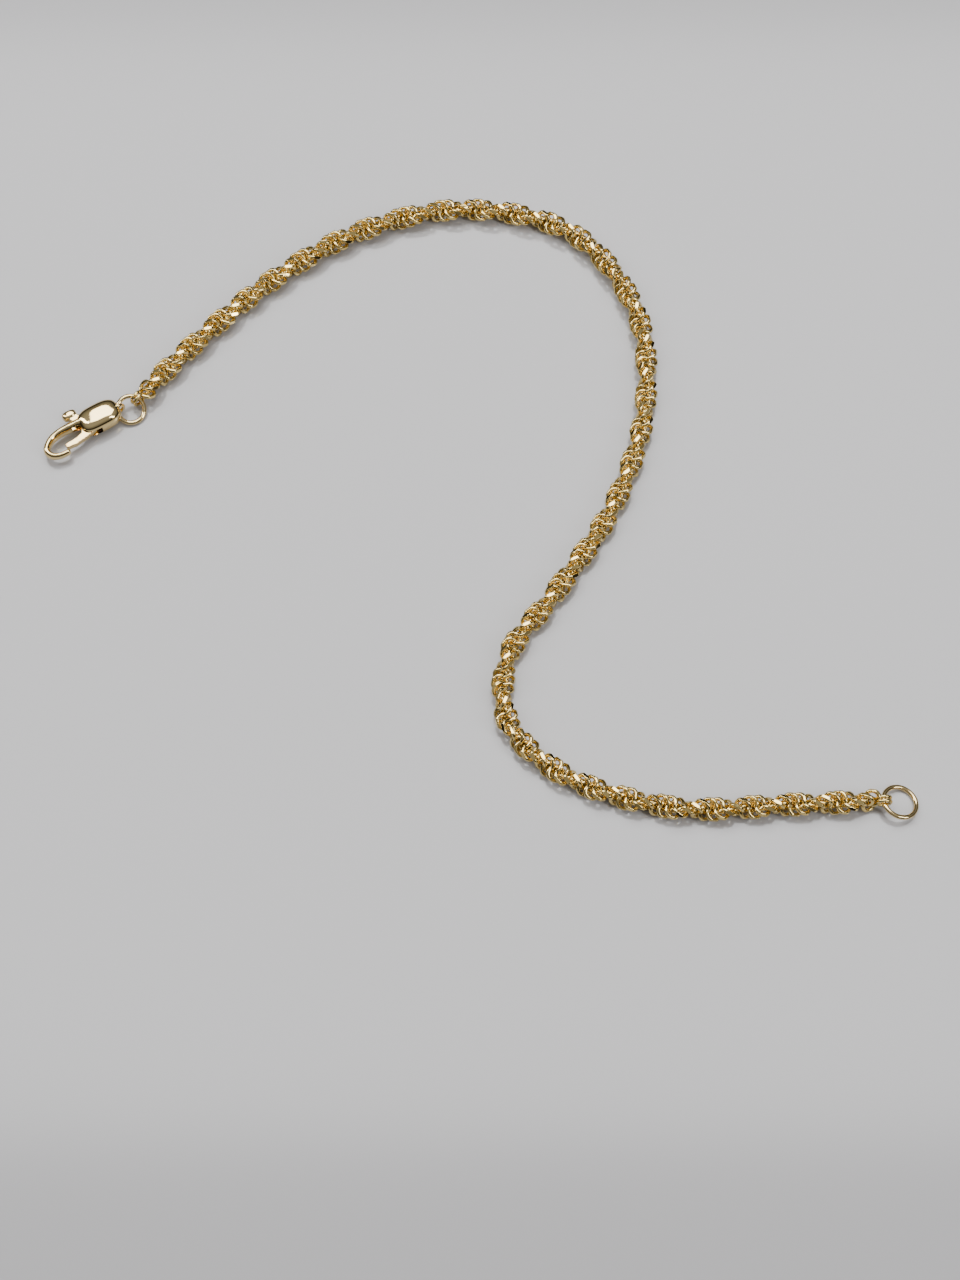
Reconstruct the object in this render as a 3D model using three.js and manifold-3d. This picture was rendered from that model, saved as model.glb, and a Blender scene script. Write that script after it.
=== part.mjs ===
// A gold rope chain bracelet that lies unfastened in an S on a flat surface.
// A lobster clasp hangs on one end by a jump ring, and a plain ring closes the other end.
// Millimetres, X to the right, Y away from the viewer, Z up, the surface at z = 0.

import * as THREE from 'three';
import { mergeVertices } from 'three/addons/utils/BufferGeometryUtils.js';
import Module from 'manifold-3d';

const wasm = await Module();
wasm.setup();

// Rope: two strands twisted left-handed around one axis
const STRAND_RADIUS = 0.83;
const STRAND_OFFSET = 0.42;
const HALF_TURN = 4.12;
const STEPS_PER_HALF_TURN = 8;
const ROPE_AXIS_HEIGHT = STRAND_RADIUS + STRAND_OFFSET;
const TAPER_LENGTH = 1.6;
const TAPER_SIZE = 0.72;
const ROPE_ROUTE = [
  [-35.4, 11.9],
  [-30.1, 18.0],
  [-21.5, 26.3],
  [-11.4, 32.7],
  [0.2, 35.2],
  [11.6, 32.0],
  [18.3, 22.3],
  [19.0, 10.4],
  [15.5, -1.0],
  [9.2, -11.2],
  [4.2, -18.4],
  [4.0, -25.5],
  [9.3, -31.2],
  [20.6, -34.9],
  [32.6, -34.6],
  [41.4, -34.2],
];

// The plain last link at each end of the rope
const LINK_RADIUS = 0.72;
const LINK_WIRE_RADIUS = 0.22;
const LINK_REACH = 0.55;

// Clasp: its own frame has x towards the hook's end, y towards the gate, origin at the tail
const CLASP_TAIL = [-37.43, 10.3];
const CLASP_HEADING = -149.3;
const CLASP_MID_HEIGHT = 1.15;
const BODY_CENTRE = [2.62, -0.25];
const BODY_HALF_LENGTH = 2.38;
const BODY_HALF_WIDTH = 1.5;
const BODY_HALF_HEIGHT = 1.2;
const BODY_FULLNESS = 3;
const BODY_SEGMENTS = 12;
const TAB_SEGMENTS = 8;
const UNDERSIDE_LENGTH = [-2, 11];
const UNDERSIDE_WIDTH = [-4, 4];
const UNDERSIDE_DEPTH = [-1, 0];
const EYE_CENTRE = [0.45, -0.16];
const EYE_RADIUS = 0.68;
const EYE_WIRE_RADIUS = 0.2;
const HOOK_ROUTE = [
  [4.0, -0.65],
  [5.6, -0.75],
  [7.2, -0.75],
  [8.5, -0.35],
  [9.3, 0.5],
  [9.05, 1.3],
  [8.3, 1.7],
  [7.1, 1.74],
];
const HOOK_ROOT = { width: 0.55, height: 0.9 };
const HOOK_TIP = { width: 0.28, height: 0.42 };
const HOOK_STEPS = 24;
const HOOK_END_ROUNDING = 0.55;

// Lever: a flat blade in the body's slot, with the gate in front and a thumb tab behind the hook
const PIVOT = [3.9, 0.35];
const PIN_RADIUS = 0.3;
const PIN_BOTTOM = 0.12;
const PIN_TOP = 1.95;
const PIN_CLEARANCE = 0.06;
const PIN_HOLE_BOTTOM = -0.5;
const PIN_SIDES = 16;
const LEVER_THICKNESS = 0.72;
const LEVER_BEVEL = 0.08;
const LEVER_EYE_RADIUS = 0.72;
const SLOT_CLEARANCE = 0.12;
const SLOT_BACK = 2.95;
const SLOT_FRONT = 5.8;
const SLOT_SIDES = [-3, 1.5];
const TAB_CENTRE = [5.3, -2.15];
const TAB_HALF_SIZE = [0.72, 0.45, 0.52];
const GATE_TIP = { x: 7.3, inner: 0.86, outer: 1.36 };
const GATE_OUTER_BEND = [6.2, 1.52];
const GATE_OUTER_ROOT = [5.2, 1.32];
const GATE_INNER_BEND = [5.1, 0.62];
const GATE_INNER_END = [5.9, 0.75];
const STEM_FOOT = { back: 4.75, front: 5.75, y: -2.0 };
const STEM_FRONT = [4.85, -0.1];
const LEVER_EYE_START = 0.5 * Math.PI;
const LEVER_EYE_END = 1.15 * Math.PI;
const LEVER_EYE_LEAD = 0.1;

// Jump ring: hung through the tail eye and the first link, its free side down on the surface
const CLASP_RING_RADIUS = 1.45;
const CLASP_RING_HANG = 0.75;
const CLASP_RING_TILT = 24;
const CLASP_RING_PLACE = [-0.79, -0.26];
const CLASP_RING_CLEARANCE = 0.1;

// End ring: its near side held up in the last link, its far side down on the surface
const END_RING_RADIUS = 1.76;
const END_RING_CENTRE = [43.66, -34.2, 0.81];
const END_RING_TILT = 14;
const END_RING_ROLL = 12;

const RING_WIRE_RADIUS = 0.25;
const RING_SIDES = 16;
const WIRE_SIDES = 6;
const ARC_SEGMENTS = 3;
const BLADE_SEGMENTS = 6;
const ROUTE_DIVISIONS = 2000;
const MERGE_DISTANCE = 1e-4;

const gold = new THREE.MeshStandardMaterial({ color: 0xc9a24e, roughness: 0.2, metalness: 1 });
const brightGold = new THREE.MeshStandardMaterial({ color: 0xd9b563, roughness: 0.12, metalness: 1 });

// A closed three.js geometry as a solid that can be joined and cut
function solidOf(geometry) {
  const bare = geometry.clone();
  bare.deleteAttribute('normal');
  bare.deleteAttribute('uv');
  const merged = mergeVertices(bare, MERGE_DISTANCE);
  return new wasm.Manifold(new wasm.Mesh({
    numProp: 3,
    vertProperties: merged.getAttribute('position').array,
    triVerts: new Uint32Array(merged.getIndex().array),
  }));
}

function geometryOf(solid) {
  const mesh = solid.getMesh();
  const geometry = new THREE.BufferGeometry();
  geometry.setAttribute('position', new THREE.BufferAttribute(mesh.vertProperties, 3));
  geometry.setIndex(new THREE.BufferAttribute(mesh.triVerts, 1));
  geometry.computeVertexNormals();
  return geometry;
}

function part(name, geometry, material) {
  const mesh = new THREE.Mesh(geometry, material);
  mesh.name = name;
  return mesh;
}

function levelCurve(points, height) {
  const curve = new THREE.CatmullRomCurve3(points.map(([x, y]) => new THREE.Vector3(x, y, height)));
  curve.arcLengthDivisions = ROUTE_DIVISIONS;
  return curve;
}

// An outline laid along a level curve, its x to the curve's left and its y up
function sweep(curve, outline, steps, sectionAt) {
  const geometry = new THREE.ExtrudeGeometry(outline, {
    depth: 1,
    steps,
    curveSegments: ARC_SEGMENTS,
    bevelEnabled: false,
  });
  const places = geometry.getAttribute('position');
  for (let i = 0; i < places.count; i++) {
    const along = places.getZ(i);
    const { turn, width, height } = sectionAt(along);
    const x = width * places.getX(i);
    const y = height * places.getY(i);
    const left = x * Math.cos(turn) - y * Math.sin(turn);
    const up = x * Math.sin(turn) + y * Math.cos(turn);
    const centre = curve.getPointAt(along);
    const ahead = curve.getTangentAt(along);
    places.setXYZ(i, centre.x - ahead.y * left, centre.y + ahead.x * left, centre.z + up);
  }
  return geometry;
}

// A wire ring around the Y axis
function wireRing(radius, wireRadius) {
  const profile = [];
  for (let i = 0; i <= WIRE_SIDES; i++) {
    const angle = (2 * Math.PI * i) / WIRE_SIDES;
    profile.push(new THREE.Vector2(radius + wireRadius * Math.cos(angle), wireRadius * Math.sin(angle)));
  }
  return new THREE.LatheGeometry(profile, RING_SIDES);
}

function flatWireRing(radius, wireRadius) {
  return wireRing(radius, wireRadius).rotateX(Math.PI / 2);
}

// Swells a sine or cosine so that a circle drawn with it becomes a full, rounded square
function swell(share, fullness) {
  return Math.sign(share) * Math.abs(share) ** (2 / fullness);
}

// A pillow with full, rounded sides, long in x
function pillow([halfLength, halfWidth, halfHeight], fullness, segments) {
  const profile = [];
  for (let i = 0; i <= segments; i++) {
    const angle = Math.PI * (i / segments - 0.5);
    const atPole = i === 0 || i === segments;
    const out = atPole ? 0 : swell(Math.cos(angle), fullness);
    profile.push(new THREE.Vector2(out, swell(Math.sin(angle), fullness)));
  }
  const geometry = new THREE.LatheGeometry(profile, 2 * segments);
  geometry.rotateZ(-Math.PI / 2);
  const places = geometry.getAttribute('position');
  for (let i = 0; i < places.count; i++) {
    const out = Math.hypot(places.getY(i), places.getZ(i)) || 1;
    places.setY(i, out * swell(places.getY(i) / out, fullness));
    places.setZ(i, out * swell(places.getZ(i) / out, fullness));
  }
  geometry.scale(halfLength, halfWidth, halfHeight);
  return geometry;
}

// Two round strands side by side
function ropeOutline() {
  const meeting = Math.PI - Math.acos(STRAND_OFFSET / STRAND_RADIUS);
  const outline = new THREE.Shape();
  outline.absarc(STRAND_OFFSET, 0, STRAND_RADIUS, -meeting, meeting);
  outline.absarc(-STRAND_OFFSET, 0, STRAND_RADIUS, Math.PI - meeting, Math.PI + meeting);
  return outline;
}

// A last link, upright in line with the rope, its far side set into the rope's end
function endLink(end, outward) {
  const centre = end.clone().addScaledVector(outward, LINK_REACH);
  const geometry = wireRing(LINK_RADIUS, LINK_WIRE_RADIUS);
  geometry.rotateZ(Math.atan2(outward.y, outward.x));
  geometry.translate(centre.x, centre.y, centre.z);
  return solidOf(geometry);
}

function ropeChain() {
  const curve = levelCurve(ROPE_ROUTE, ROPE_AXIS_HEIGHT);
  const length = curve.getLength();
  const steps = Math.round((length / HALF_TURN) * STEPS_PER_HALF_TURN);
  const sectionAt = (along) => {
    const fromEnd = Math.min(along, 1 - along) * length;
    const grown = THREE.MathUtils.smoothstep(fromEnd, 0, TAPER_LENGTH);
    const size = THREE.MathUtils.lerp(TAPER_SIZE, 1, grown);
    return { turn: (-Math.PI * along * length) / HALF_TURN, width: size, height: size };
  };
  const rope = solidOf(sweep(curve, ropeOutline(), steps, sectionAt));
  const firstLink = endLink(curve.getPointAt(0), curve.getTangentAt(0).negate());
  const lastLink = endLink(curve.getPointAt(1), curve.getTangentAt(1));
  return part('rope_chain', geometryOf(rope.add(firstLink).add(lastLink)), gold);
}

function hook() {
  const outline = new THREE.Shape();
  outline.absarc(0, 0, 1, 0, 2 * Math.PI);
  const sectionAt = (along) => {
    const end = along === 1 ? HOOK_END_ROUNDING : 1;
    return {
      turn: 0,
      width: end * THREE.MathUtils.lerp(HOOK_ROOT.width, HOOK_TIP.width, along),
      height: end * THREE.MathUtils.lerp(HOOK_ROOT.height, HOOK_TIP.height, along),
    };
  };
  return solidOf(sweep(levelCurve(HOOK_ROUTE, CLASP_MID_HEIGHT), outline, HOOK_STEPS, sectionAt));
}

function block([x0, x1], [y0, y1], [z0, z1]) {
  const geometry = new THREE.BoxGeometry(x1 - x0, y1 - y0, z1 - z0);
  geometry.translate((x0 + x1) / 2, (y0 + y1) / 2, (z0 + z1) / 2);
  return solidOf(geometry);
}

function upright(radius, [x, y], [z0, z1]) {
  const geometry = new THREE.CylinderGeometry(radius, radius, z1 - z0, PIN_SIDES);
  geometry.rotateX(Math.PI / 2);
  geometry.translate(x, y, (z0 + z1) / 2);
  return geometry;
}

// The way that the jump ring takes through the tail, a little wider than its wire
function ringTunnel(ring) {
  const geometry = flatWireRing(CLASP_RING_RADIUS, RING_WIRE_RADIUS + CLASP_RING_CLEARANCE);
  ring.updateMatrix();
  return solidOf(geometry.applyMatrix4(ring.matrix));
}

function claspBody(ring) {
  const housing = pillow([BODY_HALF_LENGTH, BODY_HALF_WIDTH, BODY_HALF_HEIGHT], BODY_FULLNESS, BODY_SEGMENTS);
  housing.translate(...BODY_CENTRE, CLASP_MID_HEIGHT);
  const eye = wireRing(EYE_RADIUS, EYE_WIRE_RADIUS);
  eye.translate(...EYE_CENTRE, CLASP_MID_HEIGHT);
  const slotHalf = LEVER_THICKNESS / 2 + SLOT_CLEARANCE;
  const slotHeights = [CLASP_MID_HEIGHT - slotHalf, CLASP_MID_HEIGHT + slotHalf];
  const slot = block([SLOT_BACK, SLOT_FRONT], SLOT_SIDES, slotHeights);
  const pinHoleHeights = [PIN_HOLE_BOTTOM, PIN_TOP + PIN_CLEARANCE];
  const pinHole = solidOf(upright(PIN_RADIUS + PIN_CLEARANCE, PIVOT, pinHoleHeights));
  const underside = block(UNDERSIDE_LENGTH, UNDERSIDE_WIDTH, UNDERSIDE_DEPTH);
  const tail = solidOf(housing).subtract(ringTunnel(ring)).add(solidOf(eye));
  const body = tail.add(hook()).subtract(slot).subtract(pinHole).subtract(underside);
  return part('clasp_body', geometryOf(body), brightGold);
}

// The blade's outline: gate tip, over the pivot, thumb tab, and back under the gate
function leverOutline() {
  const [x, y] = PIVOT;
  const outline = new THREE.Shape();
  outline.moveTo(GATE_TIP.x, GATE_TIP.inner);
  outline.lineTo(GATE_TIP.x, GATE_TIP.outer);
  outline.quadraticCurveTo(...GATE_OUTER_BEND, ...GATE_OUTER_ROOT);
  outline.lineTo(x + LEVER_EYE_LEAD, y + LEVER_EYE_RADIUS);
  outline.absarc(x, y, LEVER_EYE_RADIUS, LEVER_EYE_START, LEVER_EYE_END);
  outline.lineTo(STEM_FOOT.back, STEM_FOOT.y);
  outline.lineTo(STEM_FOOT.front, STEM_FOOT.y);
  outline.lineTo(...STEM_FRONT);
  outline.quadraticCurveTo(...GATE_INNER_BEND, ...GATE_INNER_END);
  outline.lineTo(GATE_TIP.x, GATE_TIP.inner);
  const hole = new THREE.Path();
  hole.absarc(x, y, PIN_RADIUS + PIN_CLEARANCE, 0, 2 * Math.PI, true);
  outline.holes.push(hole);
  return outline;
}

function claspLever() {
  const blade = new THREE.ExtrudeGeometry(leverOutline(), {
    depth: LEVER_THICKNESS - 2 * LEVER_BEVEL,
    curveSegments: BLADE_SEGMENTS,
    bevelThickness: LEVER_BEVEL,
    bevelSize: LEVER_BEVEL,
    bevelOffset: -LEVER_BEVEL,
    bevelSegments: 1,
  });
  blade.translate(0, 0, CLASP_MID_HEIGHT - LEVER_THICKNESS / 2 + LEVER_BEVEL);
  const tab = pillow(TAB_HALF_SIZE, BODY_FULLNESS, TAB_SEGMENTS);
  tab.translate(...TAB_CENTRE, CLASP_MID_HEIGHT);
  return part('clasp_lever', geometryOf(solidOf(blade).add(solidOf(tab))), gold);
}

function leverPin() {
  return part('lever_pin', upright(PIN_RADIUS, PIVOT, [PIN_BOTTOM, PIN_TOP]), gold);
}

function claspRing() {
  const tilt = THREE.MathUtils.degToRad(CLASP_RING_TILT);
  const ring = part('clasp_ring', flatWireRing(CLASP_RING_RADIUS, RING_WIRE_RADIUS), gold);
  const [x, y] = CLASP_RING_PLACE;
  const hangAcross = y + CLASP_RING_HANG * Math.cos(tilt);
  ring.position.set(x, hangAcross, CLASP_MID_HEIGHT - CLASP_RING_HANG * Math.sin(tilt));
  ring.rotation.x = -tilt;
  return ring;
}

function endRing() {
  const ring = part('end_ring', flatWireRing(END_RING_RADIUS, RING_WIRE_RADIUS), gold);
  ring.position.set(...END_RING_CENTRE);
  const roll = THREE.MathUtils.degToRad(END_RING_ROLL);
  const tilt = THREE.MathUtils.degToRad(END_RING_TILT);
  ring.rotation.set(-roll, tilt, 0);
  return ring;
}

const clasp = new THREE.Group();
clasp.position.set(...CLASP_TAIL, 0);
clasp.rotation.z = THREE.MathUtils.degToRad(CLASP_HEADING);
const ring = claspRing();
clasp.add(claspBody(ring), claspLever(), leverPin(), ring);

const bracelet = new THREE.Group();
bracelet.add(ropeChain(), clasp, endRing());

export default bracelet;
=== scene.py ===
import math
from bisect import bisect_left

import bmesh
import bpy
from mathutils import Matrix, Vector


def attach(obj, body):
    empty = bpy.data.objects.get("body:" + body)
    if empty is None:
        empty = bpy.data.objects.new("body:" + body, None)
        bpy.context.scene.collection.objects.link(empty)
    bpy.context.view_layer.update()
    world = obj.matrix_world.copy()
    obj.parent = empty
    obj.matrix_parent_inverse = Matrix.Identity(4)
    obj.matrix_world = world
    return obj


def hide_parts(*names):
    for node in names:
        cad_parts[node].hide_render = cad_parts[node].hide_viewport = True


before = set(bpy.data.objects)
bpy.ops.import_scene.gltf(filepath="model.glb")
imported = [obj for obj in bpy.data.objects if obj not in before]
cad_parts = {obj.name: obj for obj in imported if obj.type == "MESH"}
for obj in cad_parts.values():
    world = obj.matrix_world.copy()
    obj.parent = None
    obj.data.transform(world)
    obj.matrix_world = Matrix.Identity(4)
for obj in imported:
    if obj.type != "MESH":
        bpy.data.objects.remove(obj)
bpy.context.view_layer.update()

# The table under the bracelet: a wide, pale grey polished sheet.
# It only carries the object and mirrors its brightest edges faintly.
TABLE_REACH = 1.5
TABLE_DROP = 0.00002
TABLE_PALE = (0.475, 0.468, 0.475, 1.0)
TABLE_DEEP = (0.450, 0.443, 0.450, 1.0)
TABLE_CLOUD_SCALE = 9.0
TABLE_CLOUD_DETAIL = 1.0
TABLE_ROUGHNESS = 0.12
TABLE_SHINE = 0.5
# A Mix node's colour sockets share their names with its other sockets, so they go by number.
MIX_SHARE, MIX_PALE, MIX_DEEP, MIX_RESULT = 0, 6, 7, 2


def new_material(name):
    material = bpy.data.materials.new(name)
    material.use_nodes = True
    nodes = material.node_tree.nodes
    return material, nodes, material.node_tree.links, nodes["Principled BSDF"]


def new_piece(shape, name, *materials):
    mesh = bpy.data.meshes.new(name)
    shape.to_mesh(mesh)
    shape.free()
    for material in materials:
        mesh.materials.append(material)
    piece = bpy.data.objects.new(name, mesh)
    bpy.context.scene.collection.objects.link(piece)
    return piece


table_finish, nodes, links, shader = new_material("table_finish")
place = nodes.new("ShaderNodeTexCoord")
cloud = nodes.new("ShaderNodeTexNoise")
cloud.inputs["Scale"].default_value = TABLE_CLOUD_SCALE
cloud.inputs["Detail"].default_value = TABLE_CLOUD_DETAIL
tone = nodes.new("ShaderNodeMix")
tone.data_type = "RGBA"
tone.inputs[MIX_PALE].default_value = TABLE_PALE
tone.inputs[MIX_DEEP].default_value = TABLE_DEEP
links.new(place.outputs["Object"], cloud.inputs["Vector"])
links.new(cloud.outputs["Fac"], tone.inputs[MIX_SHARE])
links.new(tone.outputs[MIX_RESULT], shader.inputs["Base Color"])
shader.inputs["Roughness"].default_value = TABLE_ROUGHNESS
shader.inputs["Specular IOR Level"].default_value = TABLE_SHINE

table_shape = bmesh.new()
bmesh.ops.create_grid(table_shape, x_segments=1, y_segments=1, size=TABLE_REACH)
bmesh.ops.translate(table_shape, verts=table_shape.verts[:], vec=(0, 0, -TABLE_DROP))
new_piece(table_shape, "table_top", table_finish)

# The camera: above the near edge of the table, looking steeply down at the bracelet.
# Its place and lens frame it as the photograph does, clasp on the left and free end on the right.
CAMERA_PLACE = (0.001196, -0.109908, 0.23195)
CAMERA_PITCH = math.radians(22.0)
CAMERA_LENS = 67.5
CAMERA_SENSOR = 36.0
CAMERA_NEAREST = 0.001
camera_lens = bpy.data.cameras.new("camera")
camera_lens.lens = CAMERA_LENS
camera_lens.sensor_width = CAMERA_SENSOR
camera_lens.clip_start = CAMERA_NEAREST
camera = bpy.data.objects.new("camera", camera_lens)
camera.location = CAMERA_PLACE
camera.rotation_euler = (CAMERA_PITCH, 0.0, 0.0)
bpy.context.scene.collection.objects.link(camera)
bpy.context.scene.camera = camera

# The studio light: one wide soft box overhead, two narrow strips for sparkle and a dim room,
# so that polished gold shows bright tops, dark flanks and thin bright edges.
SOFT_LIGHTS = [
    # name, place, width and length, watts
    ("overhead_box", (0.00, 0.25, 0.60), (0.46, 0.42), 4.0),
    ("left_strip", (-0.42, 0.10, 0.42), (0.08, 0.50), 1.5),
    ("right_strip", (0.40, -0.22, 0.40), (0.08, 0.40), 1.3),
]
ROOM_LOW = (0.020, 0.019, 0.018, 1.0)
ROOM_LOW_AT = 0.25
ROOM_HIGH = (0.36, 0.36, 0.37, 1.0)
ROOM_HIGH_AT = 0.85
for name, spot, (wide, long), power in SOFT_LIGHTS:
    box = bpy.data.lights.new(name, "AREA")
    box.shape = "RECTANGLE"
    box.size = wide
    box.size_y = long
    box.energy = power
    lamp = bpy.data.objects.new(name, box)
    lamp.location = spot
    lamp.rotation_euler = (-Vector(spot)).to_track_quat("-Z", "Y").to_euler()
    bpy.context.scene.collection.objects.link(lamp)

room = bpy.data.worlds.new("room")
room.use_nodes = True
nodes = room.node_tree.nodes
links = room.node_tree.links
way = nodes.new("ShaderNodeTexCoord")
split = nodes.new("ShaderNodeSeparateXYZ")
wall = nodes.new("ShaderNodeValToRGB")
wall.color_ramp.elements[0].position = ROOM_LOW_AT
wall.color_ramp.elements[0].color = ROOM_LOW
wall.color_ramp.elements[1].position = ROOM_HIGH_AT
wall.color_ramp.elements[1].color = ROOM_HIGH
links.new(way.outputs["Generated"], split.inputs["Vector"])
links.new(split.outputs["Z"], wall.inputs["Fac"])
links.new(wall.outputs["Color"], nodes["Background"].inputs["Color"])
bpy.context.scene.world = room

# The rope: some 425 round gold wire rings, laid through each other in two left-handed strands.
# A diamond tool shaved it to twelve flats.
# The last link of each strand holds the ring at that end.
MM = 0.001
ROPE_ROUTE = [
    (-35.4, 11.9), (-30.1, 18.0), (-21.5, 26.3), (-11.4, 32.7),
    (0.2, 35.2), (11.6, 32.0), (18.3, 22.3), (19.0, 10.4),
    (15.5, -1.0), (9.2, -11.2), (4.2, -18.4), (4.0, -25.5),
    (9.3, -31.2), (20.6, -34.9), (32.6, -34.6), (41.4, -34.2),
]
ROUTE_STEPS = 60
HEADING_REACH = 0.05
ROPE_AXIS_HEIGHT = 1.25
HALF_TURN = 4.12
LINKS_PER_HALF_TURN = 11
LINK_RADIUS = 0.745
LINK_WIRE = 0.23
LINK_SIDES = 16
LINK_WIRE_SIDES = 6
LINK_OFFSET = 0.355
LINK_TILT = math.radians(62.0)
FIRST_LINK = 0.55
CUT_FLATS = 12
CUT_REACH = 1.215
CUT_TOLERANCE = 1e-5
LIE_REACH = 1.25
ROLLS = [
    # turn either way, length of one wave, start
    (math.radians(14.0), 37.0, 0.4),
    (math.radians(9.0), 13.0, 1.0),
]
LAST_LINK_RADIUS = 0.72
LAST_LINK_WIRE = 0.18
LAST_LINK_SIDES = 24
LAST_LINK_WIRE_SIDES = 8
LAST_LINK_REACH = 0.55
LAST_LINK_SPREAD = 0.22
MERGE_REACH = 1e-5
GOLD_DRIFT_DETAIL = 3.0
GOLD_RUB_FINENESS = 7.0
GOLD_RUB_DETAIL = 4.0
GOLD_RUB_FROM = 0.35
GOLD_RUB_TO = 0.70
GOLD_RELIEF_DEPTH = 0.00001
GOLD_TONE_GIVEN = [
    ("Pale", "NodeSocketColor"), ("Deep", "NodeSocketColor"), ("Scale", "NodeSocketFloat"),
    ("Smooth", "NodeSocketFloat"), ("Rubbed", "NodeSocketFloat"),
]
GOLD_TONE_RESULT = [
    ("Color", "NodeSocketColor"), ("Roughness", "NodeSocketFloat"), ("Height", "NodeSocketFloat"),
]
ROPE_PALE = (0.88, 0.69, 0.29, 1.0)
ROPE_DEEP = (0.78, 0.57, 0.20, 1.0)
ROPE_DRIFT = 300.0
WIRE_ROUGHNESS = (0.10, 0.24)
WIRE_RELIEF = 0.10
CUT_ROUGHNESS = (0.03, 0.08)
CUT_RELIEF = 0.04


def smooth_route(points):
    """Places along a smooth line through the points, each with its distance from the start."""
    points = [Vector(point) for point in points]
    ends = [2 * points[0] - points[1], *points, 2 * points[-1] - points[-2]]
    places = []
    for before, here, there, after in zip(ends, ends[1:], ends[2:], ends[3:]):
        first = math.sqrt((here - before).length)
        middle = math.sqrt((there - here).length)
        last = math.sqrt((after - there).length)
        direct = (there - here) / middle
        leave = (here - before) / first - (there - before) / (first + middle) + direct
        arrive = direct - (after - here) / (middle + last) + (after - there) / last
        leave, arrive = leave * middle, arrive * middle
        for step in range(ROUTE_STEPS):
            t = step / ROUTE_STEPS
            bend = 3 * (there - here) - 2 * leave - arrive
            swing = 2 * (here - there) + leave + arrive
            places.append(here + leave * t + bend * t ** 2 + swing * t ** 3)
    places.append(points[-1])
    distances = [0.0]
    for here, there in zip(places, places[1:]):
        distances.append(distances[-1] + (there - here).length)
    return distances, places


def along_route(route, distance):
    """The place at a distance, straight on past either end."""
    distances, places = route
    index = min(max(bisect_left(distances, distance), 1), len(places) - 1)
    start, end = places[index - 1], places[index]
    heading = (end - start).normalized()
    return start + heading * (distance - distances[index - 1])


def smooth_heading(route, distance):
    before = along_route(route, distance - HEADING_REACH)
    after = along_route(route, distance + HEADING_REACH)
    return (after - before).normalized()


def bend_to_route(shape, route, height):
    """Lays a straight shape on the route: x along it, y to its left, z up."""
    for vert in shape.verts:
        centre = along_route(route, vert.co.x)
        heading = smooth_heading(route, vert.co.x)
        left = Vector((-heading.y, heading.x)) * vert.co.y
        vert.co = (centre.x + left.x, centre.y + left.y, height + vert.co.z)


def wire_ring(radius, wire, sides, wire_sides):
    """A closed wire ring, flat in x and y."""
    shape = bmesh.new()
    bmesh.ops.create_circle(shape, segments=wire_sides, radius=wire)
    bmesh.ops.rotate(shape, verts=shape.verts[:], matrix=Matrix.Rotation(math.pi / 2, 3, "X"))
    bmesh.ops.translate(shape, verts=shape.verts[:], vec=(radius, 0, 0))
    bmesh.ops.spin(shape, geom=shape.verts[:] + shape.edges[:], cent=(0, 0, 0), axis=(0, 0, 1),
                   angle=2 * math.pi, steps=sides, use_merge=True)
    bmesh.ops.remove_doubles(shape, verts=shape.verts[:], dist=MERGE_REACH)
    bmesh.ops.recalc_face_normals(shape, faces=shape.faces[:])
    for face in shape.faces:
        face.smooth = True
    return shape


def add_shape(whole, shape):
    """Puts a finished shape into a larger one."""
    mesh = bpy.data.meshes.new("shape")
    shape.to_mesh(mesh)
    shape.free()
    whole.from_mesh(mesh)
    bpy.data.meshes.remove(mesh)


def shave(shape, reach, rolls):
    """Cuts the shape flat at a distance from its axis and closes the cuts with bright faces."""
    for roll in rolls:
        facing = Vector((0, math.cos(roll), math.sin(roll)))
        whole = shape.verts[:] + shape.edges[:] + shape.faces[:]
        cut = bmesh.ops.bisect_plane(shape, geom=whole, dist=CUT_TOLERANCE,
                                     plane_co=facing * reach, plane_no=facing, clear_outer=True)
        rims = [edge for edge in cut["geom_cut"] if isinstance(edge, bmesh.types.BMEdge)]
        bmesh.ops.edgeloop_fill(shape, edges=rims, mat_nr=1, use_smooth=False)


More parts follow.
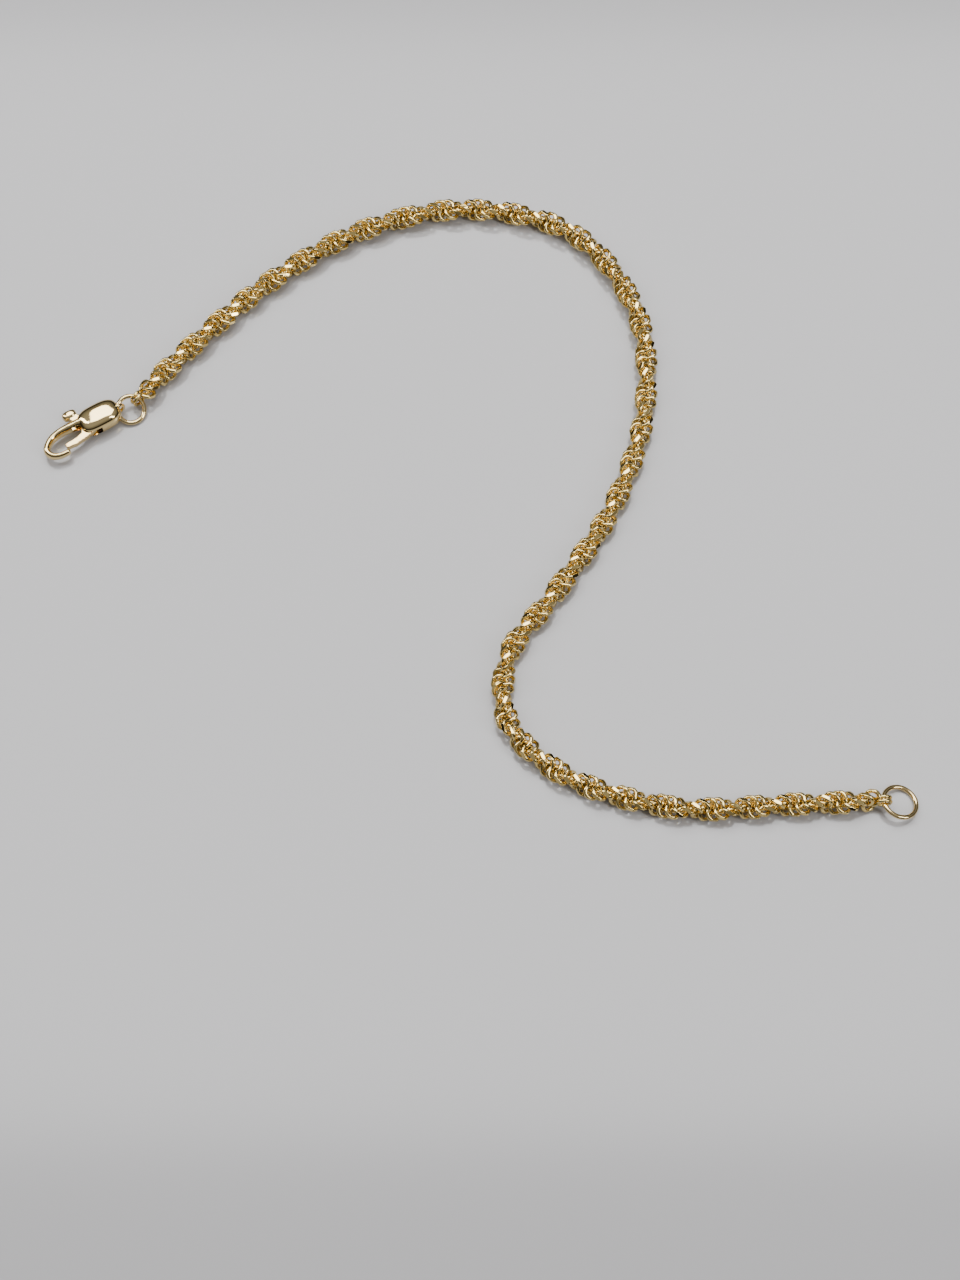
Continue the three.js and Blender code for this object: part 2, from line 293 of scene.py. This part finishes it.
def gold_tone_group():
    """Drifting gold tone, rubbed roughness and fine polishing lines, shared by every gold."""
    group = bpy.data.node_groups.new("gold_tone", "ShaderNodeTree")
    for name, kind in GOLD_TONE_GIVEN:
        group.interface.new_socket(name, in_out="INPUT", socket_type=kind)
    for name, kind in GOLD_TONE_RESULT:
        group.interface.new_socket(name, in_out="OUTPUT", socket_type=kind)
    nodes, links = group.nodes, group.links
    given = nodes.new("NodeGroupInput")
    result = nodes.new("NodeGroupOutput")
    place = nodes.new("ShaderNodeTexCoord")
    drift = nodes.new("ShaderNodeTexNoise")
    drift.inputs["Detail"].default_value = GOLD_DRIFT_DETAIL
    tone = nodes.new("ShaderNodeMix")
    tone.data_type = "RGBA"
    finer = nodes.new("ShaderNodeMath")
    finer.operation = "MULTIPLY"
    finer.inputs[1].default_value = GOLD_RUB_FINENESS
    rub = nodes.new("ShaderNodeTexNoise")
    rub.inputs["Detail"].default_value = GOLD_RUB_DETAIL
    spread = nodes.new("ShaderNodeMapRange")
    spread.inputs["From Min"].default_value = GOLD_RUB_FROM
    spread.inputs["From Max"].default_value = GOLD_RUB_TO
    links.new(place.outputs["Object"], drift.inputs["Vector"])
    links.new(place.outputs["Object"], rub.inputs["Vector"])
    links.new(given.outputs["Scale"], drift.inputs["Scale"])
    links.new(given.outputs["Scale"], finer.inputs[0])
    links.new(finer.outputs[0], rub.inputs["Scale"])
    links.new(drift.outputs["Fac"], tone.inputs[MIX_SHARE])
    links.new(given.outputs["Pale"], tone.inputs[MIX_PALE])
    links.new(given.outputs["Deep"], tone.inputs[MIX_DEEP])
    links.new(rub.outputs["Fac"], spread.inputs["Value"])
    links.new(given.outputs["Smooth"], spread.inputs["To Min"])
    links.new(given.outputs["Rubbed"], spread.inputs["To Max"])
    links.new(tone.outputs[MIX_RESULT], result.inputs["Color"])
    links.new(spread.outputs["Result"], result.inputs["Roughness"])
    links.new(rub.outputs["Fac"], result.inputs["Height"])
    return group


def gold_finish(name, pale, deep, drift, roughness, bump):
    """Polished gold between two tones and two roughnesses, smooth and rubbed."""
    material, nodes, links, shader = new_material(name)
    tone = nodes.new("ShaderNodeGroup")
    tone.node_tree = gold_tone
    tone.inputs["Pale"].default_value = pale
    tone.inputs["Deep"].default_value = deep
    tone.inputs["Scale"].default_value = drift
    tone.inputs["Smooth"].default_value, tone.inputs["Rubbed"].default_value = roughness
    relief = nodes.new("ShaderNodeBump")
    relief.inputs["Strength"].default_value = bump
    relief.inputs["Distance"].default_value = GOLD_RELIEF_DEPTH
    shader.inputs["Metallic"].default_value = 1.0
    links.new(tone.outputs["Color"], shader.inputs["Base Color"])
    links.new(tone.outputs["Roughness"], shader.inputs["Roughness"])
    links.new(tone.outputs["Height"], relief.inputs["Height"])
    links.new(relief.outputs["Normal"], shader.inputs["Normal"])
    return material


gold_tone = gold_tone_group()
rope_wire = gold_finish("rope_wire", ROPE_PALE, ROPE_DEEP, ROPE_DRIFT, WIRE_ROUGHNESS, WIRE_RELIEF)
rope_cut = gold_finish("rope_cut", ROPE_PALE, ROPE_DEEP, ROPE_DRIFT, CUT_ROUGHNESS, CUT_RELIEF)

rope_route = smooth_route(ROPE_ROUTE)
rope_length = rope_route[0][-1]
link_pitch = HALF_TURN / LINKS_PER_HALF_TURN
link_count = int((rope_length - 2 * FIRST_LINK) / link_pitch) + 1
link = wire_ring(LINK_RADIUS, LINK_WIRE, LINK_SIDES, LINK_WIRE_SIDES)
link_mesh = bpy.data.meshes.new("rope_link")
link.to_mesh(link_mesh)
link.free()
# A ring's own x, y and z become the rope's y, z and x.
across_to_along = Matrix(((0, 0, 1, 0), (1, 0, 0, 0), (0, 1, 0, 0), (0, 0, 0, 1)))
lean = Matrix.Translation((-LINK_OFFSET, 0, 0)) @ Matrix.Rotation(-LINK_TILT, 4, "X")
rope = bmesh.new()
for count in range(link_count):
    along = FIRST_LINK + count * link_pitch
    turn = -count * math.pi - math.pi * along / HALF_TURN
    station = Matrix.Translation((along, 0, 0)) @ across_to_along
    seat = station @ Matrix.Rotation(turn, 4, "Z") @ lean
    link_mesh.transform(seat)
    rope.from_mesh(link_mesh)
    link_mesh.transform(seat.inverted())
bpy.data.meshes.remove(link_mesh)

shave(rope, CUT_REACH, [2 * math.pi * flat / CUT_FLATS for flat in range(CUT_FLATS)])
for vert in rope.verts:
    roll = sum(size * math.sin(2 * math.pi * vert.co.x / wave + start)
               for size, wave, start in ROLLS)
    vert.co = Matrix.Rotation(roll, 3, "X") @ vert.co
shave(rope, LIE_REACH, (math.pi / 2, -math.pi / 2))
for middle in (-LAST_LINK_REACH, rope_length + LAST_LINK_REACH):
    for side in (-LAST_LINK_SPREAD, LAST_LINK_SPREAD):
        last_link = wire_ring(LAST_LINK_RADIUS, LAST_LINK_WIRE,
                              LAST_LINK_SIDES, LAST_LINK_WIRE_SIDES)
        upright = Matrix.Translation((middle, side, 0)) @ Matrix.Rotation(math.pi / 2, 4, "X")
        bmesh.ops.transform(last_link, matrix=upright, verts=last_link.verts[:])
        add_shape(rope, last_link)
bend_to_route(rope, rope_route, ROPE_AXIS_HEIGHT)
bmesh.ops.scale(rope, vec=(MM, MM, MM), verts=rope.verts[:])
rope_links = new_piece(rope, "rope_links", rope_wire, rope_cut)
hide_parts("rope_chain")
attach(rope_links, "bracelet")

# The clasp body: a cast and polished lobster clasp, a full cushion with a tapering hook.
# A slot for the lever runs through it, and its underside is flattened where it lies on the table.
# A small wire eye is soldered into its tail for the jump ring.
CLASP_TAIL = (-37.43, 10.3, 0.0)
CLASP_HEADING = math.radians(-149.3)
CLASP_MID_HEIGHT = 1.15
BODY_CENTRE = (2.62, -0.25)
BODY_HALF_SIZE = (2.38, 1.5, 1.2)
BODY_FULLNESS = 3.0
BODY_SIDES = 32
POLE_REACH = 1e-6
EYE_CENTRE = (0.45, -0.16)
EYE_RADIUS = 0.68
EYE_WIRE = 0.20
EYE_SIDES = 32
EYE_WIRE_SIDES = 10
HOOK_ROUTE = [
    (4.0, -0.65), (5.6, -0.75), (7.2, -0.75), (8.5, -0.35),
    (9.3, 0.5), (9.05, 1.3), (8.3, 1.7), (7.1, 1.74),
]
HOOK_ROOT = (0.55, 0.90)
HOOK_TIP = (0.28, 0.42)
HOOK_STEPS = 48
HOOK_SIDES = 24
HOOK_END = 0.55
SLOT_LOW = (2.95, -3.0, 0.67)
SLOT_HIGH = (5.8, 1.5, 1.63)
UNDERSIDE_LOW = (-2.0, -4.0, -1.0)
UNDERSIDE_HIGH = (11.0, 4.0, 0.0)
PIVOT = (3.9, 0.35)
PIN_RADIUS = 0.30
PIN_CLEARANCE = 0.06
PIN_BOTTOM = 0.12
PIN_TOP = 1.95
PIN_HOLE_BOTTOM = -0.5
PIN_HOLE_SIDES = 24
RING_WIRE = 0.25
CLASP_RING_RADIUS = 1.45
CLASP_RING_CENTRE = (-0.79, 0.4252, 0.8449)
CLASP_RING_TILT = math.radians(24.0)
CLASP_RING_CLEARANCE = 0.10
RING_WAY_SIDES = 32
RING_WAY_WIRE_SIDES = 12
CAST_GRAIN = 0.06
CAST_SOFTENING = 5
CAST_SOFTENING_SHARE = 0.5
CLASP_PALE = (0.90, 0.71, 0.35, 1.0)
CLASP_DEEP = (0.84, 0.63, 0.28, 1.0)
CLASP_DRIFT = 220.0
CLASP_ROUGHNESS = (0.06, 0.13)
CLASP_RELIEF = 0.05
to_metres = Matrix.Scale(MM, 4)
clasp_frame = Matrix.Translation(CLASP_TAIL) @ Matrix.Rotation(CLASP_HEADING, 4, "Z")
clasp_ring_turn = Matrix.Rotation(-CLASP_RING_TILT, 4, "X")
clasp_ring_seat = Matrix.Translation(CLASP_RING_CENTRE) @ clasp_ring_turn


def swell(share, fullness):
    return math.copysign(abs(share) ** (2 / fullness), share)


def pillow(half_size, centre, fullness, sides):
    """A cushion with full, rounded sides, long in x."""
    shape = bmesh.new()
    bmesh.ops.create_uvsphere(shape, u_segments=2 * sides, v_segments=sides, radius=1.0)
    bmesh.ops.rotate(shape, verts=shape.verts[:], matrix=Matrix.Rotation(math.pi / 2, 3, "Y"))
    for vert in shape.verts:
        out = math.hypot(vert.co.y, vert.co.z)
        around = (vert.co.y / out, vert.co.z / out) if out > POLE_REACH else (0.0, 0.0)
        full = swell(out, fullness)
        across = full * swell(around[0], fullness)
        upward = full * swell(around[1], fullness)
        vert.co = (swell(vert.co.x, fullness), across, upward)
    bmesh.ops.scale(shape, vec=half_size, verts=shape.verts[:])
    bmesh.ops.translate(shape, vec=centre, verts=shape.verts[:])
    return shape


def swept_hook(points, height, root, tip, steps):
    """An oval bar along a level route, narrowing from its root to its rounded tip."""
    route = smooth_route(points)
    length = route[0][-1]
    shape = bmesh.new()
    circle = bmesh.ops.create_circle(shape, segments=HOOK_SIDES, radius=1.0, cap_ends=True)
    loop = circle["verts"]
    offsets = [vert.co.copy() for vert in loop]
    rim = shape.edges[:]
    for step in range(steps + 1):
        share = step / steps
        if step:
            grown = bmesh.ops.extrude_edge_only(shape, edges=rim)["geom"]
            rim = [item for item in grown if isinstance(item, bmesh.types.BMEdge)]
            loop = [item for item in grown if isinstance(item, bmesh.types.BMVert)]
        end = HOOK_END if step == steps else 1.0
        wide = end * (root[0] + (tip[0] - root[0]) * share)
        high = end * (root[1] + (tip[1] - root[1]) * share)
        centre = along_route(route, share * length)
        heading = smooth_heading(route, share * length)
        for vert, offset in zip(loop, offsets):
            side = offset.x * wide
            vert.co = (centre.x - heading.y * side, centre.y + heading.x * side,
                       height + offset.y * high)
    bmesh.ops.contextual_create(shape, geom=rim)
    bmesh.ops.recalc_face_normals(shape, faces=shape.faces[:])
    return shape


def block(low, high):
    shape = bmesh.new()
    bmesh.ops.create_cube(shape, size=1.0)
    bmesh.ops.scale(shape, vec=Vector(high) - Vector(low), verts=shape.verts[:])
    bmesh.ops.translate(shape, vec=(Vector(low) + Vector(high)) / 2, verts=shape.verts[:])
    return shape


def upright_rod(radius, spot, bottom, top, sides):
    shape = bmesh.new()
    bmesh.ops.create_cone(shape, cap_ends=True, segments=sides, radius1=radius, radius2=radius,
                          depth=top - bottom)
    bmesh.ops.translate(shape, vec=(*spot, (bottom + top) / 2), verts=shape.verts[:])
    return shape


def cast_piece(name, shapes, hollows, seat, material):
    """Overlapping shapes cast as one softened body, then cut by the hollows and set in place."""
    whole = bmesh.new()
    for shape in shapes:
        add_shape(whole, shape)
    piece = new_piece(whole, name, material)
    melt = piece.modifiers.new("melt", "REMESH")
    melt.mode = "VOXEL"
    melt.voxel_size = CAST_GRAIN
    melt.use_smooth_shade = True
    soften = piece.modifiers.new("soften", "SMOOTH")
    soften.factor = CAST_SOFTENING_SHARE
    soften.iterations = CAST_SOFTENING
    cutters = [new_piece(hollow, "hollow") for hollow in hollows]
    for cutter in cutters:
        cut = piece.modifiers.new("cut", "BOOLEAN")
        cut.operation = "DIFFERENCE"
        cut.solver = "EXACT"
        cut.object = cutter
    seen = piece.evaluated_get(bpy.context.evaluated_depsgraph_get())
    mesh = bpy.data.meshes.new_from_object(seen)
    piece.modifiers.clear()
    piece.data = mesh
    for cutter in cutters:
        bpy.data.objects.remove(cutter)
    mesh.transform(to_metres @ seat)
    mesh.materials.clear()
    mesh.materials.append(material)
    return piece


clasp_gold = gold_finish("clasp_gold", CLASP_PALE, CLASP_DEEP, CLASP_DRIFT, CLASP_ROUGHNESS,
                         CLASP_RELIEF)
body_shapes = [
    pillow(BODY_HALF_SIZE, (*BODY_CENTRE, CLASP_MID_HEIGHT), BODY_FULLNESS, BODY_SIDES),
    swept_hook(HOOK_ROUTE, CLASP_MID_HEIGHT, HOOK_ROOT, HOOK_TIP, HOOK_STEPS),
]
ring_way = wire_ring(CLASP_RING_RADIUS, RING_WIRE + CLASP_RING_CLEARANCE, RING_WAY_SIDES,
                     RING_WAY_WIRE_SIDES)
bmesh.ops.transform(ring_way, matrix=clasp_ring_seat, verts=ring_way.verts[:])
pin_hole = upright_rod(PIN_RADIUS + PIN_CLEARANCE, PIVOT, PIN_HOLE_BOTTOM,
                       PIN_TOP + PIN_CLEARANCE, PIN_HOLE_SIDES)
body_hollows = [
    ring_way,
    block(SLOT_LOW, SLOT_HIGH),
    pin_hole,
    block(UNDERSIDE_LOW, UNDERSIDE_HIGH),
]
clasp_body = cast_piece("clasp_casting", body_shapes, body_hollows, clasp_frame, clasp_gold)
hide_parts("clasp_body")
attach(clasp_body, "bracelet")

tail_eye = wire_ring(EYE_RADIUS, EYE_WIRE, EYE_SIDES, EYE_WIRE_SIDES)
eye_spot = Matrix.Translation((*EYE_CENTRE, CLASP_MID_HEIGHT))
eye_seat = eye_spot @ Matrix.Rotation(math.pi / 2, 4, "X")
bmesh.ops.transform(tail_eye, matrix=to_metres @ clasp_frame @ eye_seat, verts=tail_eye.verts[:])
clasp_eye = new_piece(tail_eye, "clasp_tail_eye", clasp_gold)
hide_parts("clasp_body")
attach(clasp_eye, "bracelet")

# The lever: one stamped gold blade, its gate closing the hook and its thumb tab behind the arm.
# It turns on the rivet in the clasp's slot, and a hidden spring holds it shut.
LEVER_OUTLINE = [
    (7.3, 0.86), (7.3, 1.36), (6.2, 1.46), (5.2, 1.32), (4.0, 1.07), (3.53, 0.97), (3.22, 0.6),
    (3.26, 0.02), (4.75, -2.0), (5.75, -2.0), (4.85, -0.1), (5.15, 0.5), (5.9, 0.75),
]
LEVER_LOW = 0.79
LEVER_HIGH = 1.51
LEVER_HOLE_BOTTOM = 0.0
LEVER_HOLE_TOP = 2.3
TAB_CENTRE = (5.3, -2.1)
TAB_HALF_SIZE = (0.80, 0.50, 0.55)
TAB_SIDES = 20
LEVER_PALE = (0.87, 0.67, 0.33, 1.0)
LEVER_DEEP = (0.79, 0.57, 0.25, 1.0)
LEVER_DRIFT = 260.0
LEVER_ROUGHNESS = (0.08, 0.18)
LEVER_RELIEF = 0.06
lever_gold = gold_finish("lever_gold", LEVER_PALE, LEVER_DEEP, LEVER_DRIFT, LEVER_ROUGHNESS,
                         LEVER_RELIEF)
blade = bmesh.new()
blade_face = blade.faces.new([blade.verts.new((x, y, LEVER_LOW)) for x, y in LEVER_OUTLINE])
blade_grown = bmesh.ops.extrude_face_region(blade, geom=[blade_face])["geom"]
blade_top = [item for item in blade_grown if isinstance(item, bmesh.types.BMVert)]
bmesh.ops.translate(blade, vec=(0, 0, LEVER_HIGH - LEVER_LOW), verts=blade_top)
bmesh.ops.recalc_face_normals(blade, faces=blade.faces[:])
thumb_tab = pillow(TAB_HALF_SIZE, (*TAB_CENTRE, CLASP_MID_HEIGHT), BODY_FULLNESS, TAB_SIDES)
lever_hole = upright_rod(PIN_RADIUS + PIN_CLEARANCE, PIVOT, LEVER_HOLE_BOTTOM, LEVER_HOLE_TOP,
                         PIN_HOLE_SIDES)
lever = cast_piece("lever_blade", [blade, thumb_tab], [lever_hole], clasp_frame, lever_gold)
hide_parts("clasp_lever")
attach(lever, "lever")

# The rivet: a plain gold pin that the lever turns on.
# It is let into the clasp from below, its end eased and polished off.
RIVET_SIDES = 32
RIVET_EASE = 0.05
RIVET_EASE_STEPS = 3
LEVEL_TOLERANCE = 1e-4
rivet_shape = upright_rod(PIN_RADIUS, PIVOT, PIN_BOTTOM, PIN_TOP, RIVET_SIDES)
rivet_rims = [edge for edge in rivet_shape.edges
              if abs(edge.verts[0].co.z - edge.verts[1].co.z) < LEVEL_TOLERANCE]
bmesh.ops.bevel(rivet_shape, geom=rivet_rims, offset=RIVET_EASE, segments=RIVET_EASE_STEPS,
                profile=0.5, affect="EDGES", material=-1)
bmesh.ops.transform(rivet_shape, matrix=to_metres @ clasp_frame, verts=rivet_shape.verts[:])
rivet = new_piece(rivet_shape, "lever_rivet", lever_gold)
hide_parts("lever_pin")
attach(rivet, "bracelet")

# The rings: round gold wire bent to a circle and closed, polished bright.
# The jump ring hangs in the clasp's tail eye and the rope's first links.
# The closing ring hangs in the rope's last links.
END_RING_RADIUS = 1.76
END_RING_CENTRE = (43.66, -34.2, 0.81)
END_RING_ROLL = math.radians(12.0)
END_RING_TILT = math.radians(14.0)
RING_SIDES = 64
RING_WIRE_SIDES = 16
RING_PALE = (0.88, 0.69, 0.35, 1.0)
RING_DEEP = (0.80, 0.59, 0.27, 1.0)
RING_DRIFT = 260.0
RING_ROUGHNESS = (0.07, 0.16)
RING_RELIEF = 0.06
ring_gold = gold_finish("ring_gold", RING_PALE, RING_DEEP, RING_DRIFT, RING_ROUGHNESS, RING_RELIEF)
end_ring_turn = Matrix.Rotation(-END_RING_ROLL, 4, "X") @ Matrix.Rotation(END_RING_TILT, 4, "Y")
end_ring_seat = Matrix.Translation(END_RING_CENTRE) @ end_ring_turn
for name, node, radius, seat in (
    ("jump_ring", "clasp_ring", CLASP_RING_RADIUS, clasp_frame @ clasp_ring_seat),
    ("closing_ring", "end_ring", END_RING_RADIUS, end_ring_seat),
):
    ring_shape = wire_ring(radius, RING_WIRE, RING_SIDES, RING_WIRE_SIDES)
    bmesh.ops.transform(ring_shape, matrix=to_metres @ seat, verts=ring_shape.verts[:])
    ring = new_piece(ring_shape, name, ring_gold)
    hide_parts(node)
    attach(ring, "bracelet")
